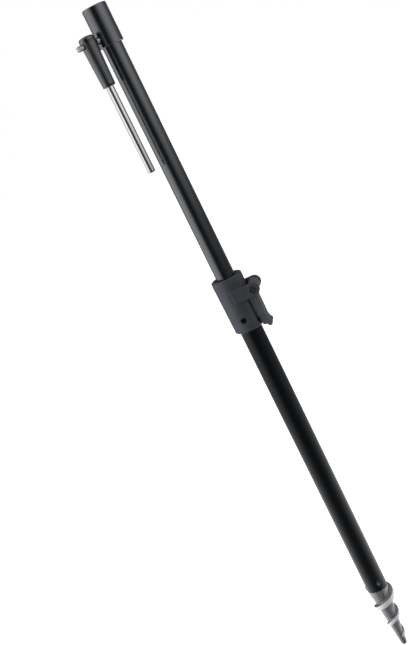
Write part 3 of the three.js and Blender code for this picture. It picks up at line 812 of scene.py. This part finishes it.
class BANKSTICK_OT_clamp_body(bpy.types.Operator):
    """Model the moulded clamp: sleeve, two ears, lever window and sunk screw seats"""
    bl_idname = "bank_stick.clamp_body"
    bl_label = "Clamp body"

    def execute(self, context):
        sizes = context.scene.bank_stick_sizes
        radius = sizes.clamp_radius
        x, z = PIVOT.x, PIVOT.z
        outside = EAR_REACH + 3 * MM
        pocket_half, pocket_depth, pocket_rise = 9.5 * MM, 5.9 * MM, 6.1 * MM
        shoe_half, shoe_rise = 4.9 * MM, 4.4 * MM
        window_depth, window_ring = 9.5 * MM, 3.2 * MM
        body = clamp_shell(radius, sizes.clamp_flare)
        combine(body, "UNION", clamp_ear(1), clamp_ear(-1))
        combine(body, "DIFFERENCE",
                block((x - pocket_depth, -pocket_half, z - pocket_rise),
                      (outside, pocket_half, z + pocket_rise)),
                block((0, -shoe_half, z - shoe_rise), (outside, shoe_half, z + shoe_rise)),
                block((window_depth, -outside, CLAMP_BOTTOM + window_ring),
                      (outside, outside, z - EAR_RADIUS)),
                cross_bar(PIN_BORE, x, z, -outside, outside),
                cross_bar(CLAMP_SCREW_BORE, 0, CLAMP_SCREW_HEIGHT, -outside, outside))
        pin_seat, pin_sunk = 3.0 * MM, EAR_REACH - 1.45 * MM
        screw_seat, screw_sunk = 2.55 * MM, radius - 2.4 * MM
        for side in (1, -1):
            combine(body, "DIFFERENCE",
                    cross_bar(pin_seat, x, z, side * pin_sunk, side * outside),
                    cross_bar(screw_seat, 0, CLAMP_SCREW_HEIGHT, side * screw_sunk, side * outside))
        soften(body, sizes.moulding_voxel, share_kept=0.55)
        hand_over(body, "lower_section", "clamp_body", "clamp_body", smooth_angle=60)
        return {"FINISHED"}


# Rows of the lever's arm in millimetres: drop below the pivot, and the reach of its inner and outer side
ARM_ROWS = [
    (0, 12.2, 18.3), (26, 12.2, 17.95), (28.1, 12.2, 18.2), (29.9, 12.2, 18.65), (30.6, 12.2, 18.9),
    (31.5, 12.5, 19.25), (32.2, 13.2, 19.65), (32.6, 14.2, 19.95), (32.7, 15.6, 20.0),
]


def lever_arm(half):
    """The arm as a solid bar: one flat section lowered row by row, each with its own depth."""
    start_fresh()
    drop, inner, outer = ARM_ROWS[0]
    middle, width = (inner + outer) / 2, outer - inner
    bpy.ops.mesh.primitive_plane_add(size=1, location=(middle * MM, 0, PIVOT.z))
    arm = bpy.context.object
    arm.scale = (width * MM, 2 * half, 1)
    apply_place()
    bpy.ops.object.mode_set(mode="EDIT")
    bpy.ops.mesh.select_all(action="SELECT")
    for next_drop, inner, outer in ARM_ROWS[1:]:
        next_middle, next_width = (inner + outer) / 2, outer - inner
        move = ((next_middle - middle) * MM, 0, (drop - next_drop) * MM)
        bpy.ops.mesh.extrude_region_move(TRANSFORM_OT_translate={"value": move})
        bpy.ops.transform.resize(value=(next_width / width, 1, 1), center_override=(next_middle * MM, 0, 0))
        drop, middle, width = next_drop, next_middle, next_width
    close_edit()
    return arm


class BANKSTICK_OT_clamp_lever(bpy.types.Operator):
    """Model the moulded lever: round head, channel-shaped arm and finger lip"""
    bl_idname = "bank_stick.clamp_lever"
    bl_label = "Clamp lever"

    def execute(self, context):
        half, wall, overrun = 7.0 * MM, 1.4 * MM, 14 * MM
        head, head_half, head_offset = 5.0 * MM, 9.2 * MM, 0.5 * MM
        lip, lip_reach, lip_drop = 2.2 * MM, 17.8 * MM, ARM_ROWS[-1][0] * MM
        channel_in, channel_out, channel_drop = 9 * MM, 16 * MM, 40 * MM
        finer_share = 0.72
        x, z = PIVOT.x, PIVOT.z
        lever = cross_bar(head, x - head_offset, z, -head_half, head_half, 64)
        lever.name = lever.data.name = "clamp_lever_moulded"
        channel = block((channel_in, -half + wall, z - channel_drop), (channel_out, half - wall, z - head))
        combine(lever, "UNION", lever_arm(half), cross_bar(lip, lip_reach, z - lip_drop, -half, half))
        combine(lever, "DIFFERENCE", channel, cross_bar(PIN_BORE, x, z, -overrun, overrun))
        soften(lever, context.scene.bank_stick_sizes.moulding_voxel * finer_share, share_kept=0.5)
        hand_over(lever, "lever", "clamp_lever", "clamp_lever", smooth_angle=60)
        return {"FINISHED"}


def clamp_screw(node, side, top):
    """A socket screw with its head up to this distance from the stick's axis."""
    shank, head, head_depth = 1.5 * MM, 2.4 * MM, 1.3 * MM
    screw = turned(node + "_turned", [
        (shank - 0.1 * MM, 8.6 * MM), (shank, 8.8 * MM), (shank, top - head_depth),
        (head - 0.1 * MM, top - head_depth), (head, top - 1.2 * MM), (head, top - 0.3 * MM),
        (head - 0.25 * MM, top)], 48)
    socket = turned("socket", [(1.1 * MM, top - 0.8 * MM), (1.1 * MM, top - 0.2 * MM),
                               (1.3 * MM, top + 0.1 * MM), (1.3 * MM, top + 1 * MM)], 6)
    combine(screw, "DIFFERENCE", socket)
    point_along(screw, (0, side, 0), (0, 0, CLAMP_SCREW_HEIGHT))
    hand_over(screw, "lower_section", "clamp_screw", node)


class BANKSTICK_OT_clamp_fixings(bpy.types.Operator):
    """Model the clamp's two socket screws and the lever's pin and nut"""
    bl_idname = "bank_stick.clamp_fixings"
    bl_label = "Clamp fixings"

    def execute(self, context):
        top = context.scene.bank_stick_sizes.clamp_radius - 1.0 * MM
        clamp_screw("clamp_screw_front", -1, top)
        clamp_screw("clamp_screw_back", 1, top)

        face = EAR_REACH - 0.25 * MM
        shank, head, head_edge = 2.0 * MM, 2.9 * MM, 0.2 * MM
        under = face - 1.1 * MM
        pin = turned("lever_pin_turned", [
            (shank - 0.4 * MM, -face + 0.5 * MM), (shank, -face + 0.9 * MM), (shank, under),
            (head - head_edge, under), (head, under + head_edge), (head, face - 0.35 * MM),
            (head - 0.35 * MM, face - 0.05 * MM), (head - 0.7 * MM, face)], 48)
        cut_slot(pin, face, 0.5 * MM)
        point_along(pin, (0, -1, 0), (PIVOT.x, 0, PIVOT.z))
        hand_over(pin, "lower_section", "lever_pin", "lever_pin")

        nut = turned("lever_nut_turned", [
            (PIN_BORE, under), (head - head_edge, under), (head, under + head_edge), (head, face - 0.3 * MM),
            (head - 0.3 * MM, face), (PIN_BORE + 0.15 * MM, face), (PIN_BORE, face - 0.15 * MM),
            (PIN_BORE, under)], 48)
        point_along(nut, (0, 1, 0), (PIVOT.x, 0, PIVOT.z))
        hand_over(nut, "lower_section", "lever_pin", "lever_nut")
        return {"FINISHED"}


# Upper tube and collar

CRANK_BORE = 1.7 * MM


class BANKSTICK_OT_upper_tube(bpy.types.Operator):
    """Model the upper tube with its broken edges and the hole for the crank's screw"""
    bl_idname = "bank_stick.upper_tube"
    bl_label = "Upper tube"

    def execute(self, context):
        sizes = context.scene.bank_stick_sizes
        tube = drawn_tube("upper_tube_drawn", sizes.upper_radius, sizes.tube_wall, UPPER_BOTTOM, UPPER_TOP)
        across = sideways(CRANK_TURN, TUBE_CUT)
        combine(tube, "DIFFERENCE", bar(CRANK_BORE, CRANK_LEVEL - across, CRANK_LEVEL + across, 32))
        hand_over(tube, "upper_section", "upper_tube", "upper_tube")
        return {"FINISHED"}


def top_collar(outer, bore):
    """The collar, closed by a web above the upper tube, with the seat of the crank's nut."""
    mouth, web, cut = 6.1 * MM, UPPER_TOP + 0.25 * MM, 13 * MM
    inner_edge, foot_edge, top_edge = 0.25 * MM, 0.3 * MM, 0.9 * MM
    collar = turned("top_collar_turned", [
        (bore + inner_edge, COLLAR_BOTTOM), (outer - foot_edge, COLLAR_BOTTOM),
        (outer, COLLAR_BOTTOM + foot_edge), (outer, COLLAR_TOP - top_edge),
        (outer - 0.12 * MM, COLLAR_TOP - 0.5 * MM),
        (outer - 0.4 * MM, COLLAR_TOP - 0.15 * MM), (outer - top_edge, COLLAR_TOP),
        (mouth + inner_edge, COLLAR_TOP), (mouth, COLLAR_TOP - inner_edge), (mouth, web), (bore, web),
        (bore, COLLAR_BOTTOM + inner_edge), (bore + inner_edge, COLLAR_BOTTOM)], 128)
    along = sideways(CRANK_TURN)
    seat, seat_bottom = 3.0 * MM, outer - 1.1 * MM
    combine(collar, "DIFFERENCE",
            bar(CRANK_BORE, CRANK_LEVEL - along * cut, CRANK_LEVEL + along * cut, 32),
            bar(seat, CRANK_LEVEL - along * cut, CRANK_LEVEL - along * seat_bottom))
    hand_over(collar, "upper_section", "top_collar", "top_collar")


def threaded_insert(pitch, thread_depth):
    """The brass insert, with the ridges of its thread as rings."""
    outer, minor, socket_depth, lead_in = 6.0 * MM, 4.3 * MM, 15.2 * MM, 0.5 * MM
    crest_share, root_share, root_end_share = 0.16, 0.5, 0.66
    profile = [(outer - 0.3 * MM, INSERT_BOTTOM), (outer, INSERT_BOTTOM + 0.3 * MM),
               (outer, INSERT_TOP - 0.2 * MM), (outer - 0.2 * MM, INSERT_TOP), (minor + lead_in, INSERT_TOP)]
    ridges = int((socket_depth - 2 * MM) / pitch)
    for ridge in range(ridges):
        top = INSERT_TOP - lead_in - ridge * pitch
        profile += [(minor, top), (minor, top - crest_share * pitch),
                    (minor + thread_depth, top - root_share * pitch),
                    (minor + thread_depth, top - root_end_share * pitch)]
    profile += [(minor, INSERT_TOP - lead_in - ridges * pitch), (minor, INSERT_TOP - socket_depth)]
    insert = turned("threaded_insert_turned", profile, 72)
    hand_over(insert, "upper_section", "threaded_insert", "threaded_insert")


class BANKSTICK_OT_top_collar(bpy.types.Operator):
    """Model the collar at the top and the brass insert with its thread"""
    bl_idname = "bank_stick.top_collar"
    bl_label = "Top collar and insert"

    def execute(self, context):
        sizes = context.scene.bank_stick_sizes
        top_collar(sizes.collar_radius, sizes.upper_radius + 0.1 * MM)
        threaded_insert(sizes.thread_pitch, sizes.thread_depth)
        return {"FINISHED"}


# Crank: modelled beside the stick with its screw along +X, then turned to its place

GRIP_WIDE = 6.4 * MM
GRIP_GAP = 0.1 * MM


def turn_to_crank(piece):
    make_active(piece)
    piece.rotation_euler.z = CRANK_TURN
    apply_place()


def beside(piece):
    """Moves a piece that was turned about Z out to the crank's line."""
    make_active(piece)
    piece.location.x = CRANK_REACH
    apply_place()


def crank_fixing(piece, side, node, smooth_angle=30):
    """Lays a small steel piece on the crank's screw line, towards the crank or away from it."""
    point_along(piece, (side, 0, 0), CRANK_LEVEL)
    turn_to_crank(piece)
    hand_over(piece, "upper_section", "small_steel", node, smooth_angle)


class BANKSTICK_OT_crank_grip(bpy.types.Operator):
    """Model the tapered grip with its fine lengthwise ribs"""
    bl_idname = "bank_stick.crank_grip"
    bl_label = "Crank grip"

    def execute(self, context):
        sizes = context.scene.bank_stick_sizes
        wide, narrow, rod_bore, dome = GRIP_WIDE, 5.1 * MM, 3.2 * MM, 0.5 * MM
        rows = 24
        low, high = GRIP_BOTTOM + 2.2 * MM, GRIP_TOP - 3.6 * MM
        corners = [(rod_bore + 0.05 * MM, GRIP_BOTTOM), *rounded_end(narrow, GRIP_BOTTOM, 0.8 * MM, -1)]
        for row in range(rows + 1):
            z = low + (high - low) * row / rows
            share = (z - GRIP_BOTTOM) / (GRIP_TOP - GRIP_BOTTOM)
            corners.append((narrow + (wide - narrow) * share, z))
        corners += reversed(rounded_end(wide, GRIP_TOP - dome, 2.3 * MM, 1, 5))
        corners += [(2.6 * MM, GRIP_TOP - 0.2 * MM), (1.0 * MM, GRIP_TOP)]
        grip = turned("crank_grip_ribbed", corners, sizes.grip_ribs * 4)

        spacing = 2 * math.pi / sizes.grip_ribs
        margin = 0.3 * (high - low) / rows
        groove_shares = (0.37, 0.88)
        within = 4 * MM

        def in_groove(co):
            share = (math.atan2(co.y, co.x) / spacing) % 1.0
            on_side = low + margin < co.z < high - margin and math.hypot(co.x, co.y) > within
            return on_side and groove_shares[0] < share < groove_shares[1]

        make_active(grip)
        bpy.ops.object.mode_set(mode="EDIT")
        select_where(grip, in_groove)
        ratio = 1 - sizes.rib_depth / wide
        bpy.ops.transform.resize(value=(ratio, ratio, 1), center_override=(0, 0, GRIP_BOTTOM))
        bpy.ops.object.mode_set(mode="OBJECT")

        beside(grip)
        x, z, overrun = CRANK_REACH, CRANK.z, 10 * MM
        rod_hole = bar(rod_bore, (x, 0, GRIP_BOTTOM - 2 * MM), (x, 0, ROD_TOP + 0.25 * MM))
        pivot_hole = bar(CRANK_BORE, (overrun, 0, z), (x + overrun, 0, z))
        combine(grip, "DIFFERENCE", rod_hole, pivot_hole)
        turn_to_crank(grip)
        hand_over(grip, "crank", "crank_grip", "crank_grip", smooth_angle=35)
        return {"FINISHED"}


class BANKSTICK_OT_crank_rod(bpy.types.Operator):
    """Model the steel rod with its broken lower edge"""
    bl_idname = "bank_stick.crank_rod"
    bl_label = "Crank rod"

    def execute(self, context):
        radius, top_edge = 3.1 * MM, 0.3 * MM
        rod = turned("crank_rod_polished", [
            (radius - 0.8 * MM, ROD_BOTTOM), (radius - 0.35 * MM, ROD_BOTTOM + 0.2 * MM),
            (radius - 0.08 * MM, ROD_BOTTOM + 0.5 * MM), (radius, ROD_BOTTOM + 0.9 * MM),
            (radius, ROD_TOP - top_edge), (radius - top_edge, ROD_TOP)], 64)
        beside(rod)
        turn_to_crank(rod)
        hand_over(rod, "crank", "crank_rod", "crank_rod")
        return {"FINISHED"}


class BANKSTICK_OT_crank_fixings(bpy.types.Operator):
    """Model the crank's slotted screw, its spacer and the sunk nut"""
    bl_idname = "bank_stick.crank_fixings"
    bl_label = "Crank fixings"

    def execute(self, context):
        shank, head = 1.6 * MM, 2.2 * MM
        end, under = -10.2 * MM, CRANK_REACH + GRIP_WIDE + GRIP_GAP
        face = under + 4.8 * MM
        screw = turned("crank_screw_slotted", [
            (shank - 0.3 * MM, end), (shank, end + 0.3 * MM), (shank, under), (head - 0.15 * MM, under),
            (head, under + 0.15 * MM), (head, face - 0.35 * MM), (head - 0.15 * MM, face - 0.12 * MM),
            (head - 0.4 * MM, face)], 48)
        cut_slot(screw, face, 1.3 * MM)
        crank_fixing(screw, 1, "crank_screw")

        radius, edge = 2.9 * MM, 0.2 * MM
        inner, outer = 10.1 * MM, CRANK_REACH - GRIP_WIDE - GRIP_GAP
        spacer = turned("crank_spacer_turned", [
            (CRANK_BORE, inner), (radius - edge, inner), (radius, inner + edge), (radius, outer - edge),
            (radius - edge, outer), (CRANK_BORE, outer), (CRANK_BORE, inner)], 48)
        crank_fixing(spacer, 1, "crank_spacer")

        low, high = 9.0 * MM, 10.3 * MM
        nut = turned("crank_nut_hexagonal", [
            (CRANK_BORE, low), (radius, low), (radius, high - 0.25 * MM), (radius - 0.3 * MM, high),
            (CRANK_BORE, high), (CRANK_BORE, low)], 6)
        crank_fixing(nut, -1, "crank_nut", smooth_angle=20)
        return {"FINISHED"}


class BANKSTICK_OT_inner_parts(bpy.types.Operator):
    """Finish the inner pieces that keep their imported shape"""
    bl_idname = "bank_stick.inner_parts"
    bl_label = "Inner parts"

    def execute(self, context):
        slots = {
            "clamp_liner": "clamp_liner",
            "pressure_shoe": "black_nylon",
            "guide_bush": "black_nylon",
            "inner_plug": "black_nylon",
            "plug_washer": "small_steel",
            "plug_screw": "small_steel",
        }
        for node, slot_name in slots.items():
            piece = frame["nodes"][node]
            piece.data.materials.clear()
            piece.data.materials.append(finish_of(slot_name))
        return {"FINISHED"}


# Stage: white floor and room, two soft lights, and the camera

CAMERA_PLACE = Vector((0.1434, -0.7462, 0.5408))
CAMERA_TURN = math.radians(13.33)
CAMERA_TILT = math.radians(13.84)
CAMERA_ROLL = math.radians(-26.66)
SENSOR = 36
# Focal length as a share of the picture's height
FOCAL_SHARE = 950 / 645

# What shiny pieces mirror, where 1 is white
LEFT_PANEL = 1.5
RIGHT_PANEL = 1.4
LIT_FLOOR = 1.3
GROUND = 0.22
CEILING = 0.4
FAR_SIDE = 0.16
DARKNESS = 0.035


def camera_axes():
    """The camera's right, up and back directions."""
    turn, tilt, roll = CAMERA_TURN, CAMERA_TILT, CAMERA_ROLL
    back = Vector((math.sin(turn) * math.cos(tilt), -math.cos(turn) * math.cos(tilt), math.sin(tilt)))
    level = Vector((math.cos(turn), math.sin(turn), 0))
    rise = back.cross(level)
    right = level * math.cos(roll) + rise * math.sin(roll)
    up = rise * math.cos(roll) - level * math.sin(roll)
    return right, up, back


def place_camera():
    start_fresh()
    bpy.ops.object.camera_add()
    camera = bpy.context.object
    right, up, back = camera_axes()
    camera.matrix_world = Matrix((
        (right.x, up.x, back.x, CAMERA_PLACE.x), (right.y, up.y, back.y, CAMERA_PLACE.y),
        (right.z, up.z, back.z, CAMERA_PLACE.z), (0, 0, 0, 1)))
    camera.data.sensor_width = SENSOR
    camera.data.lens = SENSOR * FOCAL_SHARE
    camera.data.clip_start, camera.data.clip_end = 0.01, 50
    bpy.context.scene.camera = camera


def soft_light(name, power, size, direction, distance, height):
    """An upright soft light that faces the stick. Its direction is in degrees round the stick from the
    camera's side, positive on the picture's right."""
    start_fresh()
    bpy.ops.object.light_add(type="AREA")
    light = bpy.context.object
    light.name = name
    light.data.shape = "RECTANGLE"
    light.data.size, light.data.size_y = size
    light.data.energy = power
    turn = CAMERA_TURN - math.pi / 2 + math.radians(direction)
    place = Vector((math.cos(turn) * distance, math.sin(turn) * distance, height))
    light.location = place
    light.rotation_euler = Vector((place.x, place.y, 0)).to_track_quat("Z", "Y").to_euler()
    light.visible_glossy = False


def band(tree, value, low, low_full, high_full, high):
    """Rises from 0 to 1 between the first two values and falls back between the last two."""
    rise = ramp(tree, value, low, low_full, curve="SMOOTHSTEP")
    fall = ramp(tree, value, high_full, high, 1.0, 0.0, curve="SMOOTHSTEP")
    return math_node(tree, "MULTIPLY", rise, fall)


def patch(tree, turn, upwards, turns, rises):
    """A lit patch of the room, between these turns round the stick and these heights."""
    return math_node(tree, "MULTIPLY", band(tree, turn, *turns), band(tree, upwards, *rises))


def mirrored_room(tree):
    """What shiny pieces mirror: a tall bright panel on the left, a smaller one at the upper right, a lit
    floor at the sides and behind the stick, a dim ground, ceiling and far side, and near darkness elsewhere.
    Turns are degrees round the stick from the camera's side, positive on the picture's right, and heights
    are the upward part of a direction."""
    direction = add_node(tree, "ShaderNodeTexCoord").outputs["Generated"]
    facing = math.atan2(CAMERA_PLACE.x, -CAMERA_PLACE.y)
    axes = ((math.cos(facing), math.sin(facing), 0), (math.sin(facing), -math.cos(facing), 0), (0, 0, 1))
    along = [add_node(tree, "ShaderNodeVectorMath", {0: direction, 1: axis}, operation="DOT_PRODUCT")
             for axis in axes]
    rightwards, forwards, upwards = [part.outputs["Value"] for part in along]
    turn = math_node(tree, "MULTIPLY", math_node(tree, "ARCTAN2", rightwards, forwards), 180 / math.pi)
    aside = math_node(tree, "ABSOLUTE", turn, 0)
    parts = [
        (LEFT_PANEL, patch(
            tree, turn, upwards, turns=(-150, -92, -64, -26), rises=(-0.30, -0.22, 0.75, 0.95))),
        (RIGHT_PANEL, patch(
            tree, turn, upwards, turns=(-6, 50, 58, 124), rises=(-0.18, 0.05, 0.6, 0.9))),
        (LIT_FLOOR, patch(
            tree, aside, upwards, turns=(20, 100, 360, 361), rises=(-0.95, -0.66, -0.44, -0.35))),
        (GROUND, band(tree, upwards, -2, -1.5, -0.60, -0.45)),
        (CEILING, band(tree, upwards, 0.45, 0.9, 2, 3)),
        (FAR_SIDE, band(tree, aside, 60, 150, 360, 361)),
    ]
    level = DARKNESS
    for strength, part in parts:
        level = math_node(tree, "ADD", level, math_node(tree, "MULTIPLY", part, strength))
    return level


def room(fill):
    """A room that is white where it is seen, even where it lights, and panelled where it is mirrored."""
    world = bpy.data.worlds.new("white_room")
    bpy.context.scene.world = world
    world.use_nodes = True
    tree = world.node_tree
    background = tree.nodes["Background"]
    path = add_node(tree, "ShaderNodeLightPath").outputs
    sharp = math_node(tree, "MAXIMUM", path["Is Glossy Ray"], path["Is Transmission Ray"])
    level = add_node(tree, "ShaderNodeMix", {0: sharp, 2: fill, 3: mirrored_room(tree)}, data_type="FLOAT")
    seen = add_node(tree, "ShaderNodeMix", {
        0: path["Is Camera Ray"], 2: level.outputs[0], 3: 1.0}, data_type="FLOAT")
    background.inputs["Color"].default_value = (1, 1, 1, 1)
    tree.links.new(seen.outputs[0], background.inputs["Strength"])


def floor_material():
    """White floor that keeps shadows; mirrored rays and rays from below pass through it to the room."""
    material = bpy.data.materials.new("white_floor")
    material.use_nodes = True
    tree = material.node_tree
    shader = tree.nodes["Principled BSDF"]
    path = add_node(tree, "ShaderNodeLightPath").outputs
    shader.inputs["Roughness"].default_value = 0.9
    shader.inputs["Specular IOR Level"].default_value = 0.0
    shader.inputs["Base Color"].default_value = (0.8, 0.8, 0.8, 1)
    shader.inputs["Emission Color"].default_value = (1, 1, 1, 1)
    glow = 0.8
    seen = math_node(tree, "MULTIPLY", path["Is Camera Ray"], glow)
    tree.links.new(seen, shader.inputs["Emission Strength"])
    side = add_node(tree, "ShaderNodeNewGeometry")
    through = math_node(tree, "MAXIMUM", path["Is Glossy Ray"], side.outputs["Backfacing"])
    clear = add_node(tree, "ShaderNodeBsdfTransparent")
    mixed = add_node(tree, "ShaderNodeMixShader", {0: through, 1: shader.outputs[0], 2: clear.outputs[0]})
    tree.links.new(mixed.outputs[0], tree.nodes["Material Output"].inputs["Surface"])
    return material


class BANKSTICK_OT_stage(bpy.types.Operator):
    """Set up the white floor and room, the two soft lights and the camera"""
    bl_idname = "bank_stick.stage"
    bl_label = "Stage"

    def execute(self, context):
        studio = context.scene.bank_stick_studio
        floor_size, floor_drop, light_distance = 30, 0.3 * MM, 0.60
        place_camera()
        start_fresh()
        bpy.ops.mesh.primitive_plane_add(size=floor_size, location=(0, 0, -floor_drop))
        floor = context.object
        floor.name = "floor"
        floor.data.materials.append(floor_material())
        soft_light("left_light", studio.left_light, size=(0.34, 1.1), direction=-82,
                   distance=light_distance, height=0.42)
        soft_light("right_light", studio.right_light, size=(0.50, 0.55), direction=72,
                   distance=light_distance, height=0.66)
        room(studio.fill)
        context.scene.view_settings.view_transform = "Standard"
        return {"FINISHED"}


# Add-on layout

PIECE_OPERATORS = [
    BANKSTICK_OT_lower_tube, BANKSTICK_OT_spike_rivet, BANKSTICK_OT_ground_screw, BANKSTICK_OT_clamp_body,
    BANKSTICK_OT_clamp_lever, BANKSTICK_OT_clamp_fixings, BANKSTICK_OT_upper_tube, BANKSTICK_OT_top_collar,
    BANKSTICK_OT_crank_grip, BANKSTICK_OT_crank_rod, BANKSTICK_OT_crank_fixings, BANKSTICK_OT_inner_parts,
    BANKSTICK_OT_stage,
]


class BANKSTICK_PT_build(bpy.types.Panel):
    """Buttons that model the bank stick piece by piece"""
    bl_idname = "BANKSTICK_PT_build"
    bl_label = "Bank stick"
    bl_space_type = "VIEW_3D"
    bl_region_type = "UI"
    bl_category = "Bank stick"

    def draw(self, context):
        for operator in PIECE_OPERATORS:
            self.layout.operator(operator.bl_idname)
        for settings in ("bank_stick_sizes", "bank_stick_finishes", "bank_stick_studio"):
            group = getattr(context.scene, settings)
            box = self.layout.box()
            for name in group.__annotations__:
                box.prop(group, name)


CLASSES = [BankStickSizes, BankStickFinishes, BankStickStudio, *PIECE_OPERATORS, BANKSTICK_PT_build]


def register():
    for one in CLASSES:
        bpy.utils.register_class(one)
    bpy.types.Scene.bank_stick_sizes = PointerProperty(type=BankStickSizes)
    bpy.types.Scene.bank_stick_finishes = PointerProperty(type=BankStickFinishes)
    bpy.types.Scene.bank_stick_studio = PointerProperty(type=BankStickStudio)


def unregister():
    del bpy.types.Scene.bank_stick_studio
    del bpy.types.Scene.bank_stick_finishes
    del bpy.types.Scene.bank_stick_sizes
    for one in reversed(CLASSES):
        bpy.utils.unregister_class(one)


def main():
    register()
    for operator in PIECE_OPERATORS:
        getattr(bpy.ops.bank_stick, operator.bl_idname.split(".")[1])()


if __name__ == "__main__":
    main()
